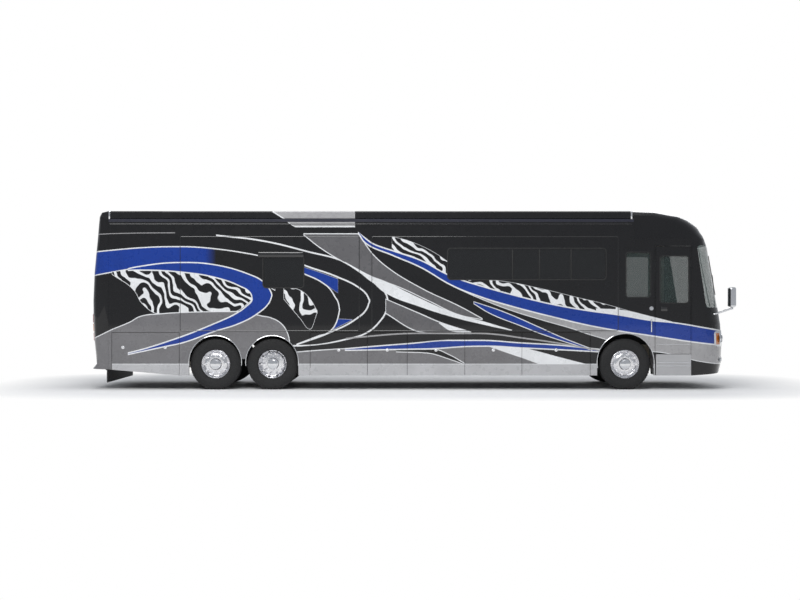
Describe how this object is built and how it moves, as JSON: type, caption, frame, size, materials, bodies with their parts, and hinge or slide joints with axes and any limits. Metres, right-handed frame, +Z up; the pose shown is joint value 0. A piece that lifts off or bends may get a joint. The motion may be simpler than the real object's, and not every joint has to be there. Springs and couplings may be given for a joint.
{
  "type": "motorhome",
  "caption": "Tag-axle diesel coach motorhome with slide-out rooms, side-hinged luggage bays, steered front wheels and a rear engine hatch.",
  "frame": {"origin": "on the ground under the middle of the coach", "axes": "+X forwards, +Y to the driver's side, +Z up"},
  "size_m": [13.635, 2.88, 3.845],
  "materials": {
    "body_paint": "gloss clear coat in black, blue, grey and silver bands",
    "roof_white": "satin gel coat",
    "awning_navy": "satin paint",
    "step_silver": "satin paint",
    "chassis_steel": "matt chassis paint",
    "floor": "matt floor covering",
    "glass": "dark tinted, polished",
    "lamp": "clear moulded lens",
    "mirror_chrome": "bright plate",
    "wheel_alloy": "polished forging",
    "tyre": "road-worn rubber",
    "guard_rubber": "ribbed sheet",
    "dash_plastic": "grained plastic",
    "leather": "soft stitched leather"
  },
  "bodies": {
    "coach": {"chassis_frame": "chassis_steel", "engine_block": "chassis_steel", "front_axle_beam": "chassis_steel", "drive_axle_housing": "chassis_steel", "tag_axle_beam": "chassis_steel", "basement_tray": "chassis_steel", "cabin_floor": "floor", "entry_step": "step_silver", "roof": "roof_white", "awning_housing": "awning_navy", "front_cap": "body_paint", "rear_cap": "body_paint", "windscreen": "glass", "rock_guard": "guard_rubber", "dashboard": "dash_plastic", "driver_seat": "leather", "passenger_seat": "leather", "sidewall_right": "body_paint", "cab_window_right": "glass", "mirror_right": "mirror_chrome", "headlamp_right": "lamp", "sidewall_left": "body_paint", "cab_window_left": "glass", "mirror_left": "mirror_chrome", "headlamp_left": "lamp"},
    "knuckle_right": {"knuckle_right": "chassis_steel"},
    "front_wheel_right": {"front_rim_right": "wheel_alloy", "front_tyre_right": "tyre"},
    "tag_wheel_right": {"tag_rim_right": "wheel_alloy", "tag_tyre_right": "tyre"},
    "drive_wheels_right": {"drive_rims_right": "wheel_alloy", "drive_tyre_outer_right": "tyre", "drive_tyre_inner_right": "tyre"},
    "knuckle_left": {"knuckle_left": "chassis_steel"},
    "front_wheel_left": {"front_rim_left": "wheel_alloy", "front_tyre_left": "tyre"},
    "tag_wheel_left": {"tag_rim_left": "wheel_alloy", "tag_tyre_left": "tyre"},
    "drive_wheels_left": {"drive_rims_left": "wheel_alloy", "drive_tyre_outer_left": "tyre", "drive_tyre_inner_left": "tyre"},
    "bay_door_right_1": {"bay_door_right_1": "body_paint"},
    "bay_door_right_2": {"bay_door_right_2": "body_paint"},
    "bay_door_right_3": {"bay_door_right_3": "body_paint"},
    "bay_door_right_4": {"bay_door_right_4": "body_paint"},
    "bay_door_right_5": {"bay_door_right_5": "body_paint"},
    "bay_door_left_1": {"bay_door_left_1": "body_paint"},
    "bay_door_left_2": {"bay_door_left_2": "body_paint"},
    "bay_door_left_3": {"bay_door_left_3": "body_paint"},
    "engine_side_door": {"engine_side_door": "body_paint"},
    "engine_hatch": {"engine_hatch": "body_paint"},
    "entry_door": {"entry_door": "body_paint", "entry_door_glass": "glass"},
    "slideout_right_rear": {"slideout_right_rear": "body_paint", "slideout_right_rear_glass": "glass"},
    "slideout_right_front": {"slideout_right_front": "body_paint", "slideout_right_front_glass": "glass"},
    "slideout_left": {"slideout_left": "body_paint", "slideout_left_glass": "glass"}
  },
  "joints": [
    {"name": "steer_right", "type": "hinge", "parent": "coach", "child": "knuckle_right", "pos_m": [4.5225, -0.93, 0.536], "axis": [0, 0, 1], "range_deg": [-38, 38]},
    {"name": "roll_front_right", "type": "hinge", "parent": "knuckle_right", "child": "front_wheel_right", "pos_m": [4.5225, -1.08, 0.536], "axis": [0, 1, 0], "continuous": true},
    {"name": "roll_tag_right", "type": "hinge", "parent": "coach", "child": "tag_wheel_right", "pos_m": [-4.1375, -1.08, 0.536], "axis": [0, 1, 0], "continuous": true},
    {"name": "roll_drive_right", "type": "hinge", "parent": "coach", "child": "drive_wheels_right", "pos_m": [-2.9375, -0.91, 0.536], "axis": [0, 1, 0], "continuous": true},
    {"name": "steer_left", "type": "hinge", "parent": "coach", "child": "knuckle_left", "pos_m": [4.5225, 0.93, 0.536], "axis": [0, 0, 1], "range_deg": [-38, 38]},
    {"name": "roll_front_left", "type": "hinge", "parent": "knuckle_left", "child": "front_wheel_left", "pos_m": [4.5225, 1.08, 0.536], "axis": [0, 1, 0], "continuous": true},
    {"name": "roll_tag_left", "type": "hinge", "parent": "coach", "child": "tag_wheel_left", "pos_m": [-4.1375, 1.08, 0.536], "axis": [0, 1, 0], "continuous": true},
    {"name": "roll_drive_left", "type": "hinge", "parent": "coach", "child": "drive_wheels_left", "pos_m": [-2.9375, 0.91, 0.536], "axis": [0, 1, 0], "continuous": true},
    {"name": "bay_door_right_1_hinge", "type": "hinge", "parent": "coach", "child": "bay_door_right_1", "pos_m": [-0.96086, -1.265, 0.3], "axis": [0, 0, 1], "range_deg": [0, 90]},
    {"name": "bay_door_right_2_hinge", "type": "hinge", "parent": "coach", "child": "bay_door_right_2", "pos_m": [-0.11869, -1.265, 0.3], "axis": [0, 0, 1], "range_deg": [0, 90]},
    {"name": "bay_door_right_3_hinge", "type": "hinge", "parent": "coach", "child": "bay_door_right_3", "pos_m": [1.09641, -1.265, 0.3], "axis": [0, 0, 1], "range_deg": [0, 90]},
    {"name": "bay_door_right_4_hinge", "type": "hinge", "parent": "coach", "child": "bay_door_right_4", "pos_m": [2.30205, -1.265, 0.3], "axis": [0, 0, 1], "range_deg": [0, 90]},
    {"name": "bay_door_right_5_hinge", "type": "hinge", "parent": "coach", "child": "bay_door_right_5", "pos_m": [3.7435, -1.265, 0.3], "axis": [0, 0, 1], "range_deg": [0, 90]},
    {"name": "bay_door_left_1_hinge", "type": "hinge", "parent": "coach", "child": "bay_door_left_1", "pos_m": [-0.96086, 1.265, 0.3], "axis": [0, 0, 1], "range_deg": [-90, 0]},
    {"name": "bay_door_left_2_hinge", "type": "hinge", "parent": "coach", "child": "bay_door_left_2", "pos_m": [1.09641, 1.265, 0.3], "axis": [0, 0, 1], "range_deg": [-90, 0]},
    {"name": "bay_door_left_3_hinge", "type": "hinge", "parent": "coach", "child": "bay_door_left_3", "pos_m": [3.7435, 1.265, 0.3], "axis": [0, 0, 1], "range_deg": [-90, 0]},
    {"name": "engine_side_door_hinge", "type": "hinge", "parent": "coach", "child": "engine_side_door", "pos_m": [-5.6085, -1.265, 1.172], "axis": [1, 0, 0], "range_deg": [-85, 0]},
    {"name": "engine_hatch_hinge", "type": "hinge", "parent": "coach", "child": "engine_hatch", "pos_m": [-6.78961, 0, 1.665], "axis": [0, 1, 0], "range_deg": [0, 80]},
    {"name": "entry_door_hinge", "type": "hinge", "parent": "coach", "child": "entry_door", "pos_m": [5.8695, -1.265, 0.754], "axis": [0, 0, 1], "range_deg": [0, 90]},
    {"name": "slideout_right_rear_slide", "type": "slide", "parent": "coach", "child": "slideout_right_rear", "axis": [0, -1, 0], "range_m": [0, 0.8]},
    {"name": "slideout_right_front_slide", "type": "slide", "parent": "coach", "child": "slideout_right_front", "axis": [0, -1, 0], "range_m": [0, 0.8]},
    {"name": "slideout_left_slide", "type": "slide", "parent": "coach", "child": "slideout_left", "axis": [0, 1, 0], "range_m": [0, 0.8]}
  ],
  "couplings": [
    {"joint": "steer_left", "follows": "steer_right", "ratio": 1}
  ]
}
